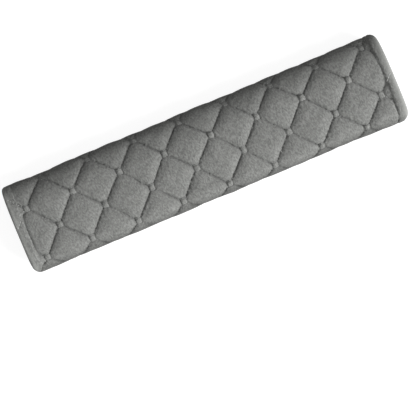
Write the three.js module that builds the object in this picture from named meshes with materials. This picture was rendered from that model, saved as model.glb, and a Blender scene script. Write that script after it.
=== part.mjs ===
// Seat belt shoulder pad: a quilted velvet panel folded round the belt into a flattened sleeve.
// The two long flaps overlap underneath and close on a strip of hook tape and a strip of loop tape.
// Frame: X along the pad, Y across it, Z up, in millimetres. The closed side lies on Z = 0 and the
// origin is under the middle of the pad.
import * as THREE from 'three';

// The closed pad
const PAD_LENGTH = 291;
const PAD_WIDTH = 67;
const PAD_HEIGHT = 22;
const FOLD_HEIGHT = 11; // where the two long folds reach furthest out
const FRONT_FULLNESS = 0.88; // how far the flat of the top runs toward the left fold
const FRONT_SHOULDER = 0.85; // how upright the top is beside that fold
const BACK_FULLNESS = 0.6; // the same toward the right fold
const BACK_SHOULDER = 0.65;

// The quilted laminate: velvet, wadding and backing sewn through as one
const PUFF_THICKNESS = 3.8;
const GROOVE_DEPTH = 1.8;
const PUFF_RIM = 5; // how far from a stitch line the puff reaches its full height
const CROWN_SHARE = 0.2; // share of the height that the middle of a puff gains over its rim
const FLAP_THICKNESS = 2.4; // where the tapes are sewn on
const FLAP_GROOVE_DEPTH = 1.1;
const FOLD_GROOVE_SHARE = 0.4; // what tight folds leave of the depth of a groove
const FLAP_BLEND = 12; // over which the wadding thins toward the tapes
const PRESSED_FULLNESS = 1.35; // underneath, the puffs are pressed flat by what they lie on
const EDGE_ROUNDING = 0.8;
const EDGE_MARGIN = 1.6;

// The quilting: squares set on their corners, with a small stitched square at each crossing
const QUILT_SQUARE = 25;
const KNOB_SQUARE = 5;
const KNOB_HEIGHT = 0.55; // share of the groove's depth
const FIRST_CROSSING = 12.6; // from the left end of the pad to the first column of crossings
const ROW_OFFSET = 0.8; // of the middle between two rows from the middle of the top
const QUILT_TURN = THREE.MathUtils.degToRad(0.8); // the rows run slightly off the folds
const QUILT_STEPS = 5; // grid steps between two columns of crossings
const LINE_EASING = 0.09; // share of a step by which those lines crowd toward the stitches
const LINE_CLEARANCE = 5 / 6; // least distance from a hem's or a flap's line to the next

// The turned hems at both ends
const HEM_WIDTH = 7.3; // from the end to the row of stitches
const HEM_RETURN = 8.8; // how far the turned layer reaches back inside
const HEM_INSIDE = 0.9; // its thickness on the inner face
const HEM_PROUD = 0.5; // how far the roll stands above the puffs
const HEM_NOSE = 3; // half thickness of the roll along X
const HEM_STEPS = 6;

// The flaps and what closes them
const TAPE_WIDTH = 20;
const TAPE_CENTRE = -0.5;
const TAPE_BASE = 0.5;
const TAPE_SELVEDGE = 1;
const LOOP_PILE = 0.8;
const HOOK_PILE = 0.6;
const TAPE_END = 10; // from the end of the pad to the end of a tape
const FLAP_BEYOND_TAPE = 3; // from the tape to the flap's free edge
const LINING_THICKNESS = 0.5;
const LINING_EDGE = 2; // from the flap's free edge to the lining
const GAP = 0.3; // between pieces that are sewn to or pressed on one another

// Folds of the section
const OUTER_FOLD_REACH = 11.5; // from the side of the pad to where the outer flap lies flat
const INNER_FOLD_REACH = 7.5; // from the side of the pad to where the inner flap hangs lowest
const DIP_HEIGHT = 3.4; // of that lowest place, beside the outer flap's free edge
const DIP_ROUNDNESS = 0.46;
const FOLD_ROUNDNESS = 0.56;
const SECTION_STEP = 2.8; // along the section, on the faces that are plain lengthwise

const halfLength = PAD_LENGTH / 2;
const halfWidth = PAD_WIDTH / 2;
const tapeLow = TAPE_CENTRE - TAPE_WIDTH / 2;
const tapeHigh = TAPE_CENTRE + TAPE_WIDTH / 2;

// The stack underneath, from the surface up
const outerLiningZ = FLAP_THICKNESS + GAP;
const loopTapeZ = outerLiningZ + LINING_THICKNESS + GAP;
const hookTapeZ = loopTapeZ + TAPE_BASE + LOOP_PILE + GAP + HOOK_PILE + TAPE_BASE;
const innerFlapZ = hookTapeZ + GAP;

// Section of the outer face, over the tops of the puffs: from the inner flap's free edge to the
// dip, the left fold, the top, the right fold and back underneath to the outer flap's free edge.
const flatEnd = tapeLow - FLAP_BEYOND_TAPE / 2;
const dipY = INNER_FOLD_REACH - halfWidth;
const dipHandle = DIP_ROUNDNESS * (flatEnd - dipY);
const layDownY = halfWidth - OUTER_FOLD_REACH;
const section = new THREE.Path();
section.moveTo(tapeHigh + FLAP_BEYOND_TAPE, innerFlapZ);
section.lineTo(flatEnd, innerFlapZ);
section.bezierCurveTo(
  flatEnd - dipHandle, innerFlapZ,
  dipY + dipHandle, DIP_HEIGHT,
  dipY, DIP_HEIGHT,
);
section.bezierCurveTo(
  dipY - FOLD_ROUNDNESS * INNER_FOLD_REACH, DIP_HEIGHT,
  -halfWidth, FOLD_HEIGHT - FOLD_ROUNDNESS * (FOLD_HEIGHT - DIP_HEIGHT),
  -halfWidth, FOLD_HEIGHT,
);
section.bezierCurveTo(
  -halfWidth, FOLD_HEIGHT + FRONT_SHOULDER * (PAD_HEIGHT - FOLD_HEIGHT),
  -halfWidth * FRONT_FULLNESS, PAD_HEIGHT,
  0, PAD_HEIGHT,
);
section.bezierCurveTo(
  halfWidth * BACK_FULLNESS, PAD_HEIGHT,
  halfWidth, FOLD_HEIGHT + BACK_SHOULDER * (PAD_HEIGHT - FOLD_HEIGHT),
  halfWidth, FOLD_HEIGHT,
);
section.bezierCurveTo(
  halfWidth, FOLD_HEIGHT * (1 - FOLD_ROUNDNESS),
  layDownY + FOLD_ROUNDNESS * OUTER_FOLD_REACH, 0,
  layDownY, 0,
);
section.lineTo(tapeLow - FLAP_BEYOND_TAPE, 0);

// Lengths along the section are measured from the middle of the top, toward +Y.
const TOP_CURVES = 4; // the curves that lead from the inner flap to the middle of the top
const sectionLength = section.getLength();
const toMiddle = section.getCurveLengths()[TOP_CURVES - 1];
const sectionStart = -toMiddle;
const sectionEnd = sectionLength - toMiddle;
const innerTapeStart = sectionStart + FLAP_BEYOND_TAPE;
const innerTapeEnd = innerTapeStart + TAPE_WIDTH;
const outerTapeEnd = sectionEnd - FLAP_BEYOND_TAPE;
const outerTapeStart = outerTapeEnd - TAPE_WIDTH;

function onSection(s) {
  const t = THREE.MathUtils.clamp((s + toMiddle) / sectionLength, 0, 1);
  const point = section.getPoint(t);
  const tangent = section.getTangent(t);
  return { y: point.x, z: point.y, outY: -tangent.y, outZ: tangent.x };
}

// A point of the panel, at a depth below the tops of the puffs. Nothing goes below the surface
// that the pad lies on.
function place(x, s, depth) {
  const { y, z, outY, outZ } = onSection(s);
  return [x, y - outY * depth, Math.max(0, z - outZ * depth)];
}

// 1 over the tapes, 0 away from them
function overTapes(s) {
  const smooth = THREE.MathUtils.smoothstep;
  const inner = 1 - smooth(s, innerTapeEnd, innerTapeEnd + FLAP_BLEND);
  const outer = smooth(s, outerTapeStart - FLAP_BLEND, outerTapeStart);
  return { inner, outer };
}

// Share of its depth that a groove keeps, less on the folds, where the cover is drawn tight
function tightness(s) {
  return THREE.MathUtils.lerp(1, FOLD_GROOVE_SHARE, onSection(s).outY ** 2);
}

function panelThickness(s) {
  const { inner, outer } = overTapes(s);
  return THREE.MathUtils.lerp(PUFF_THICKNESS, FLAP_THICKNESS, Math.max(inner, outer));
}

// Quilting
const pitch = QUILT_SQUARE / Math.SQRT2;
const knobReach = KNOB_SQUARE / 2;
const rowSlope = -Math.tan(QUILT_TURN);

function rowShift(x) {
  return ROW_OFFSET + pitch / 2 + rowSlope * x;
}

// Height of a puff, from 0 on a stitch line to 1 on its top
function puff(x, s) {
  const a = (x + halfLength - FIRST_CROSSING) / pitch;
  const b = (s - rowShift(x)) / pitch;
  const column = Math.floor(a);
  const row = Math.floor(b);
  const rising = (column + row) % 2 === 0;
  const along = a - column;
  const across = rising ? b - row : 1 - (b - row);
  const toLine = Math.abs(along - across) * pitch / Math.SQRT2;
  const nearX = Math.min(Math.max(along, across), 1 - Math.min(along, across)) * pitch;
  if (nearX < knobReach) {
    return KNOB_HEIGHT * (1 - nearX / knobReach);
  }
  const clear = Math.min(toLine, nearX - knobReach);
  const rim = Math.sqrt(1 - (1 - Math.min(1, clear / PUFF_RIM)) ** 2);
  const crown = Math.min(1, toLine * Math.SQRT2 / pitch);
  return (1 - CROWN_SHARE) * rim + CROWN_SHARE * crown * rim;
}

// Depth of the quilted face below the tops of the puffs
function quiltDepth(x, s) {
  const { inner, outer } = overTapes(s);
  const { outZ } = onSection(s);
  const pressed = 1 + (PRESSED_FULLNESS - 1) * Math.max(0, -outZ);
  const height = Math.min(1, puff(x, s) * pressed);
  const groove = THREE.MathUtils.lerp(GROOVE_DEPTH, FLAP_GROOVE_DEPTH, outer);
  return groove * tightness(s) * (1 - height) * (1 - inner);
}

// Lines of the outer grid. Within each pitch they lie the same way from both sides, so that the
// stitch lines run corner to corner through the grid's cells.
function pitchOffsets() {
  const inner = [];
  const steps = QUILT_STEPS - 2;
  for (let k = 0; k <= steps; k++) {
    const even = k / steps;
    const eased = even - LINE_EASING * Math.sin(2 * Math.PI * even);
    inner.push(knobReach + (pitch - 2 * knobReach) * eased);
  }
  return [0, ...inner];
}

function latticeLines(origin, low, high) {
  const lines = [];
  const first = Math.floor((low - origin) / pitch) - 1;
  const last = Math.ceil((high - origin) / pitch) + 1;
  for (let k = first; k <= last; k++) {
    for (const offset of pitchOffsets()) {
      const at = origin + k * pitch + offset;
      if (at > low && at < high) {
        lines.push(at);
      }
    }
  }
  return lines;
}

// One line across the pad: its place along X and how deep it lies at each s
function hemLines(side) {
  const end = side * halfLength;
  const lines = [];
  lines.push({
    x: end - side * HEM_RETURN,
    depth: (s) => panelThickness(s) + HEM_INSIDE,
  });
  for (let k = 0; k <= HEM_STEPS; k++) {
    const angle = Math.PI * (k / HEM_STEPS - 0.5);
    lines.push({
      x: end - side * HEM_NOSE * (1 - Math.cos(angle)),
      depth: (s) => {
        const inside = panelThickness(s) + HEM_INSIDE;
        const proud = HEM_PROUD * tightness(s);
        return (inside - proud) / 2 - (inside + proud) / 2 * Math.sin(angle);
      },
    });
  }
  lines.push({
    x: end - side * (HEM_NOSE + HEM_WIDTH) / 2,
    depth: (s) => -HEM_PROUD * tightness(s) / 2,
  });
  lines.push({
    x: end - side * HEM_WIDTH,
    depth: (s) => Math.min(GROOVE_DEPTH, panelThickness(s) / 2) * tightness(s),
  });
  return lines;
}

function linesAlong() {
  const clear = halfLength - HEM_WIDTH - LINE_CLEARANCE;
  const quilted = latticeLines(FIRST_CROSSING - halfLength, -clear, clear);
  const middle = quilted.map((x) => ({ x, depth: (s) => quiltDepth(x, s) }));
  return [...hemLines(-1), ...middle, ...hemLines(1).reverse()];
}

// Lines round the section: straight ones at the free edges and over the hook tape, and turned
// ones that follow the rows of the quilting.
function linesRound() {
  const margin = EDGE_MARGIN + Math.abs(rowSlope) * halfLength + LINE_CLEARANCE;
  const straight = [sectionStart, sectionStart + EDGE_MARGIN, innerTapeEnd];
  const turned = latticeLines(ROW_OFFSET + pitch / 2, innerTapeEnd + margin, sectionEnd - margin);
  return [
    ...straight.map((s) => () => s),
    ...turned.map((s) => (x) => s + rowSlope * x),
    () => sectionEnd - EDGE_MARGIN,
    () => sectionEnd,
  ];
}

function sectionSamples(from, to) {
  const count = Math.round((to - from) / SECTION_STEP);
  return Array.from({ length: count + 1 }, (_, k) => from + (to - from) * k / count);
}

// The quilted panel as one closed skin
function quiltedPanel() {
  const positions = [];
  const triangles = [];
  const add = (point) => positions.push(point) - 1;
  const along = linesAlong();
  const round = linesRound();
  const last = { i: along.length - 1, j: round.length - 1 };

  // Outer face, from the turned-in edge of one hem to that of the other
  const outer = along.map(({ x, depth }) => round.map((line, j) => {
    const s = line(x);
    const atEdge = j === 0 || j === last.j;
    return add(place(x, s, atEdge ? Math.max(depth(s), EDGE_ROUNDING) : depth(s)));
  }));

  // Inner face, plain lengthwise
  const samples = sectionSamples(sectionStart, sectionEnd);
  const innerEnd = halfLength - HEM_RETURN;
  const inner = [-innerEnd, innerEnd].map((x) => (
    samples.map((s) => add(place(x, s, panelThickness(s))))
  ));

  const quad = (a, b, c, d, risingSplit) => {
    if (risingSplit) {
      triangles.push([a, b, c], [a, c, d]);
    } else {
      triangles.push([a, b, d], [b, c, d]);
    }
  };
  for (let i = 0; i < last.i; i++) {
    for (let j = 0; j < last.j; j++) {
      const x = (along[i].x + along[i + 1].x) / 2;
      const s = (round[j](x) + round[j + 1](x)) / 2;
      const column = Math.floor((x + halfLength - FIRST_CROSSING) / pitch);
      const row = Math.floor((s - rowShift(x)) / pitch);
      const rising = (column + row) % 2 === 0;
      quad(outer[i][j], outer[i + 1][j], outer[i + 1][j + 1], outer[i][j + 1], rising);
    }
  }
  for (let k = 0; k < samples.length - 1; k++) {
    quad(inner[0][k], inner[0][k + 1], inner[1][k + 1], inner[1][k], true);
  }

  // The step between each hem's turned-in edge and the inner face
  const fineAt = (x) => round.map((line) => line(x));
  const step = (fine, fineS, coarse, flip) => {
    let a = 0;
    let b = 0;
    while (a < fine.length - 1 || b < coarse.length - 1) {
      const moveFine = b === coarse.length - 1
        || (a < fine.length - 1 && fineS[a + 1] <= samples[b + 1]);
      const tri = moveFine ? [fine[a], fine[a + 1], coarse[b]] : [fine[a], coarse[b + 1], coarse[b]];
      triangles.push(flip ? tri.reverse() : tri);
      a += moveFine ? 1 : 0;
      b += moveFine ? 0 : 1;
    }
  };
  step(outer[0], fineAt(along[0].x), inner[0], false);
  step(outer[last.i], fineAt(along[last.i].x), inner[1], true);

  // The cut edges of the two flaps, which are flat
  const edgeFace = (loop) => {
    const flat = loop.map((n) => new THREE.Vector2(positions[n][0], positions[n][2]));
    const turn = Math.sign(THREE.ShapeUtils.area(flat));
    for (const face of THREE.ShapeUtils.triangulateShape(flat, [])) {
      const same = Math.sign(THREE.ShapeUtils.area(face.map((n) => flat[n]))) === turn;
      const tri = face.map((n) => loop[n]);
      triangles.push(same ? tri : tri.reverse());
    }
  };
  const outerLine = (j) => outer.map((line) => line[j]);
  const end = samples.length - 1;
  edgeFace([...outerLine(0).reverse(), inner[0][0], inner[1][0]]);
  edgeFace([...outerLine(last.j), inner[1][end], inner[0][end]]);

  const geometry = new THREE.BufferGeometry();
  geometry.setAttribute('position', new THREE.Float32BufferAttribute(positions.flat(), 3));
  geometry.setIndex(triangles.flat());
  geometry.computeVertexNormals();
  return geometry;
}

// A profile drawn in the Y-Z plane and run along the pad, clear of both ends by the same amount
function runAlongPad(profile, fromEnd) {
  const depth = PAD_LENGTH - 2 * fromEnd;
  const geometry = new THREE.ExtrudeGeometry(profile, { depth, bevelEnabled: false });
  const turn = new THREE.Matrix4().makeBasis(
    new THREE.Vector3(0, 1, 0), new THREE.Vector3(0, 0, 1), new THREE.Vector3(1, 0, 0),
  );
  geometry.applyMatrix4(turn);
  geometry.translate(fromEnd - halfLength, 0, 0);
  return geometry;
}

// The lining lies on the panel's inner face, between the hems
function liningProfile() {
  const samples = sectionSamples(sectionStart + LINING_EDGE, sectionEnd - LINING_EDGE);
  const at = (s, lift) => {
    const [, y, z] = place(0, s, panelThickness(s) + GAP + lift);
    return new THREE.Vector2(y, z);
  };
  const near = samples.map((s) => at(s, 0));
  const far = samples.map((s) => at(s, LINING_THICKNESS)).reverse();
  return new THREE.Shape([...near, ...far]);
}

// A tape: a woven base with a field of hooks or loops between two plain selvedges
function tapeProfile(baseZ, upward, pile) {
  const base = baseZ + upward * TAPE_BASE;
  const top = base + upward * pile;
  return new THREE.Shape([
    new THREE.Vector2(tapeLow, baseZ),
    new THREE.Vector2(tapeHigh, baseZ),
    new THREE.Vector2(tapeHigh, base),
    new THREE.Vector2(tapeHigh - TAPE_SELVEDGE, base),
    new THREE.Vector2(tapeHigh - TAPE_SELVEDGE, top),
    new THREE.Vector2(tapeLow + TAPE_SELVEDGE, top),
    new THREE.Vector2(tapeLow + TAPE_SELVEDGE, base),
    new THREE.Vector2(tapeLow, base),
  ]);
}

const velvet = new THREE.MeshStandardMaterial({ color: 0x7b7c7a, roughness: 0.95, metalness: 0 });
const tricot = new THREE.MeshStandardMaterial({ color: 0x626362, roughness: 0.85, metalness: 0 });
const loopFleece = new THREE.MeshStandardMaterial({ color: 0x5a5b5a, roughness: 0.9, metalness: 0 });
const hookNylon = new THREE.MeshStandardMaterial({ color: 0x4d4e4d, roughness: 0.6, metalness: 0 });

function piece(name, geometry, material) {
  const mesh = new THREE.Mesh(geometry, material);
  mesh.name = name;
  return mesh;
}

const pad = new THREE.Group();
pad.add(piece('quilted_panel', quiltedPanel(), velvet));
pad.add(piece('lining', runAlongPad(liningProfile(), HEM_RETURN + GAP), tricot));
pad.add(piece('loop_tape', runAlongPad(tapeProfile(loopTapeZ, 1, LOOP_PILE), TAPE_END), loopFleece));
pad.add(piece('hook_tape', runAlongPad(tapeProfile(hookTapeZ, -1, HOOK_PILE), TAPE_END), hookNylon));

export default pad;
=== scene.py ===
"""A quilted velvet seat belt shoulder pad, closed and lying on a pale floor."""

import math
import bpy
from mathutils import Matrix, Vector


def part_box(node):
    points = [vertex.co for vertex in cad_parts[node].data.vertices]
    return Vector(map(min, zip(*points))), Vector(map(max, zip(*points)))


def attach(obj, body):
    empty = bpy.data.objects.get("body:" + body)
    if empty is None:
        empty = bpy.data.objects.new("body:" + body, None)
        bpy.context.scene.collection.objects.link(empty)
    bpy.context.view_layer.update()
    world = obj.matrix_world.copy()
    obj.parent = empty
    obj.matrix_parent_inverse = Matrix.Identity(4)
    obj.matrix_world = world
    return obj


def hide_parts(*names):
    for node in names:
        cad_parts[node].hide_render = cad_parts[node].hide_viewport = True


bl_info = {
    "name": "Quilted belt shoulder pad",
    "version": (1, 0, 0),
    "blender": (4, 5, 0),
    "location": "View3D > Sidebar > Belt pad",
    "description": "Makes a quilted velvet pad that wraps a seat belt, with its lining, tapes and threads",
    "category": "Add Mesh",
}

import bpy
import numpy as np
from mathutils import Vector
from mathutils.geometry import tessellate_polygon

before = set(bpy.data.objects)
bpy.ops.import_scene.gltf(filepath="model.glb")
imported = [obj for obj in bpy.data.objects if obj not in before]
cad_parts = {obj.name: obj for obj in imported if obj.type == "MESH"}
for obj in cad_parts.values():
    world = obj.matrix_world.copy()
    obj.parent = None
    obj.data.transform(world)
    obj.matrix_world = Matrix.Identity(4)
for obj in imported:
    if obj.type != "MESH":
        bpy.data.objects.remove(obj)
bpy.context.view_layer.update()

BODY = "root"
PANEL_LOW, PANEL_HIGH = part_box("quilted_panel")
LOOP_LOW, LOOP_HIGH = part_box("loop_tape")
HOOK_LOW, HOOK_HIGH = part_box("hook_tape")
MM = 0.001
SEED = 7


def length(name, description, millimetres):
    """A length property, given in millimetres and held in metres."""
    return bpy.props.FloatProperty(
        name=name, description=description, default=millimetres * MM, unit="LENGTH", subtype="DISTANCE"
    )


def share(name, description, default):
    return bpy.props.FloatProperty(
        name=name, description=description, default=default, min=0, max=2, subtype="FACTOR"
    )


def colour(name, description, default):
    return bpy.props.FloatVectorProperty(
        name=name, description=description, default=default, size=3, min=0, max=1, subtype="COLOR"
    )


class PadSizes(bpy.types.PropertyGroup):
    """Sizes of the closed pad and of its quilting."""

    width: length("Width", "Across the pad, over the tops of the puffs", 67)
    height: length("Height", "Of the closed sleeve, over the tops of the puffs", 22)
    fold_height: length("Fold height", "Where the two long folds reach furthest out", 11)
    front_fullness: share("Front fullness", "How far the flat of the top runs toward the front fold", 0.88)
    front_shoulder: share("Front shoulder", "How upright the top is beside the front fold", 0.85)
    back_fullness: share("Back fullness", "How far the flat of the top runs toward the back fold", 0.6)
    back_shoulder: share("Back shoulder", "How upright the top is beside the back fold", 0.65)
    outer_fold_reach: length("Outer fold reach", "From the side to where the outer flap lies flat", 11.5)
    inner_fold_reach: length("Inner fold reach", "From the side to where the inner flap hangs lowest", 7.5)
    dip_height: length("Dip height", "Of that lowest place", 3.4)
    fold_roundness: share("Fold roundness", "How round the lower half of each fold is", 0.56)
    dip_roundness: share("Dip roundness", "How soft the step onto the outer flap is", 0.46)

    puff_thickness: length("Puff thickness", "Of the quilted laminate on a puff", 3.8)
    groove_depth: length("Groove depth", "From a puff's top down to its stitches", 2.5)
    flap_thickness: length("Flap thickness", "Of the laminate under the tapes", 2.4)
    flap_groove: length("Flap groove", "Depth of the quilting on the outer flap", 1.1)
    flap_blend: length("Flap blend", "Over which the wadding thins toward the tapes", 12)
    flap_margin: length("Flap margin", "From a tape to the flap's free edge", 3)
    fold_groove_share: share("Fold groove share", "Share of the groove's depth left on the folds", 0.22)
    edge_round: length("Edge round", "Rounding of the flaps' free edges", 1.2)

    quilt_square: length("Quilting square", "Side of a square of the quilting", 25)
    knob_square: length("Knob square", "Side of the small stitched square at a crossing", 4.4)
    first_crossing: length("First crossing", "From the left end to the first column of crossings", 12.6)
    row_offset: length("Row offset", "Of the rows from the middle of the top", 0.8)
    quilt_turn: bpy.props.FloatProperty(
        name="Quilting turn", description="Of the rows against the folds",
        default=math.radians(0.8), unit="ROTATION", subtype="ANGLE",
    )

    hem_width: length("Hem width", "From the end to the row of hem stitches", 7.3)
    hem_return: length("Hem return", "How far the turned layer reaches back inside", 8.8)
    hem_inside: length("Hem inside", "Thickness of the turned layer on the inner face", 0.9)
    hem_proud: length("Hem proud", "Height of the roll over the puffs", 0.5)
    hem_nose: length("Hem nose", "Half thickness of the roll along the pad", 3)
    left_quilting: share("Quilting on the left hem", "How much of the quilting shows on it", 0.8)
    right_quilting: share("Quilting on the right hem", "How much of the quilting shows on it", 0.2)
    left_seam: share("Left hem's seam", "How deep its stitches draw it in", 0.8)
    right_seam: share("Right hem's seam", "How deep its stitches draw it in", 0.84)
    hem_bow: length("Hem bow", "How much closer to the end the right seam runs in the middle", 1.4)
    end_bow: length("End bow", "How much further out the right end reaches in the middle", 1.6)
    corner: length("Corners", "How far the ends draw in at the folds", 0.4)
    soft_corner: length("Soft corner", "The same at the front of the left end", 1.8)
    row_creep: length("Row creep", "How far the quilting slips toward each fold", 1.7)

    lining_thickness: length("Lining", "Thickness of the lining", 0.5)
    gap: length("Gap", "Between pieces that are sewn to one another", 0.3)
    thread: length("Thread", "Diameter of the sewing thread", 0.36)


class PadColours(bpy.types.PropertyGroup):
    """Colours of the pad and of what it lies on."""

    velvet: colour("Velvet", "Of the pile, seen along it", (0.193, 0.196, 0.188))
    # painted shade: the velvet's colour where the grooves lie in shade
    painted_groove_shade: colour("Painted groove shade", "Of the pile in the grooves", (0.152, 0.154, 0.149))
    thread: colour("Thread", "Of the sewing thread", (0.27, 0.275, 0.265))
    lining: colour("Lining", "Of the knitted lining", (0.13, 0.132, 0.13))
    loop: colour("Loop tape", "Of the loops", (0.10, 0.102, 0.10))
    hook: colour("Hook tape", "Of the moulded hooks", (0.075, 0.077, 0.075))
    # painted glint: the same thread in a lighter colour where it crosses the hems
    painted_glint_hem_thread: colour("Hem thread", "Of the thread where it crosses the hems", (0.48, 0.49, 0.47))
    floor: colour("Floor", "Of the pale ground", (0.30, 0.30, 0.30))


class Section:
    """The pad's outer face seen along it, by the distance from the middle of the top."""

    def __init__(self, size):
        half = size.width / 2
        top, fold, dip = size.height, size.fold_height, size.dip_height
        inner_z = HOOK_HIGH.z + size.gap
        flat_end = LOOP_LOW.y - size.flap_margin / 2
        dip_y = size.inner_fold_reach - half
        lay_y = half - size.outer_fold_reach
        handle = size.dip_roundness * (flat_end - dip_y)
        round_ = size.fold_roundness
        front = fold + size.front_shoulder * (top - fold)
        back = fold + size.back_shoulder * (top - fold)
        lower = fold - round_ * (fold - dip)
        under = lay_y + round_ * size.outer_fold_reach
        curves = [
            [(LOOP_HIGH.y + size.flap_margin, inner_z), (flat_end, inner_z)],
            [(flat_end, inner_z), (flat_end - handle, inner_z), (dip_y + handle, dip), (dip_y, dip)],
            [(dip_y, dip), (dip_y - round_ * size.inner_fold_reach, dip), (-half, lower), (-half, fold)],
            [(-half, fold), (-half, front), (-half * size.front_fullness, top), (0, top)],
            [(0, top), (half * size.back_fullness, top), (half, back), (half, fold)],
            [(half, fold), (half, fold * (1 - round_)), (under, 0), (lay_y, 0)],
            [(lay_y, 0), (LOOP_LOW.y - size.flap_margin, 0)],
        ]
        points = [np.array(curves[0][:1], float)]
        lengths = []
        for curve in curves:
            drawn = self.draw(np.array(curve, float))
            points.append(drawn[1:])
            lengths.append(np.linalg.norm(np.diff(drawn, axis=0), axis=1).sum())
        line = np.concatenate(points)
        run = np.concatenate([[0], np.cumsum(np.linalg.norm(np.diff(line, axis=0), axis=1))])
        self.s = run - sum(lengths[:4])
        self.line = line
        tangent = np.gradient(line, self.s, axis=0)
        self.out = np.stack([-tangent[:, 1], tangent[:, 0]], 1)
        self.out /= np.linalg.norm(self.out, axis=1)[:, None]
        self.start, self.end = self.s[0], self.s[-1]

    @staticmethod
    def draw(points, steps=500):
        t = np.linspace(0, 1, steps)[:, None]
        if len(points) == 2:
            return points[0] * (1 - t) + points[1] * t
        weights = [(1 - t) ** 3, 3 * t * (1 - t) ** 2, 3 * t ** 2 * (1 - t), t ** 3]
        return sum(w * p for w, p in zip(weights, points))

    def at(self, s):
        y, z = (np.interp(s, self.s, self.line[:, k]) for k in (0, 1))
        out_y, out_z = (np.interp(s, self.s, self.out[:, k]) for k in (0, 1))
        return y, z, out_y, out_z


def smooth(value, low, high):
    t = np.clip((value - low) / (high - low), 0, 1)
    return t * t * (3 - 2 * t)


def rim(distance, reach):
    """Round shoulder: 0 at the stitches, 1 from reach on."""
    return np.sqrt(1 - (1 - np.clip(distance / reach, 0, 1)) ** 2)


class Waves:
    """Smooth random unevenness made of a few long sine waves."""

    SPREAD = (0.7, 1.6)  # of the wavelengths, as shares of the one asked for

    def __init__(self, seed, wavelength, count=9):
        rng = np.random.default_rng(seed)
        angle = rng.uniform(0, 2 * math.pi, count)
        number = 2 * math.pi / (wavelength * rng.uniform(*self.SPREAD, count))
        self.kx, self.ks = number * np.cos(angle), number * np.sin(angle)
        self.phase = rng.uniform(0, 2 * math.pi, count)
        self.scale = math.sqrt(2 / count)

    def __call__(self, x, s):
        total = 0
        for kx, ks, phase in zip(self.kx, self.ks, self.phase):
            total = total + np.sin(kx * x + ks * s + phase)
        return total * self.scale


MIXING = (127.1, 311.7, 74.7, 43758.5453)  # unrelated factors, so that neighbours get unlike numbers


def by_cell(a, b, salt):
    """A random number from -1 to 1 for each whole pair a, b."""
    mixed = np.sin(a * MIXING[0] + b * MIXING[1] + salt * MIXING[2]) * MIXING[3]
    return 2 * (mixed - np.floor(mixed)) - 1


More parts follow.
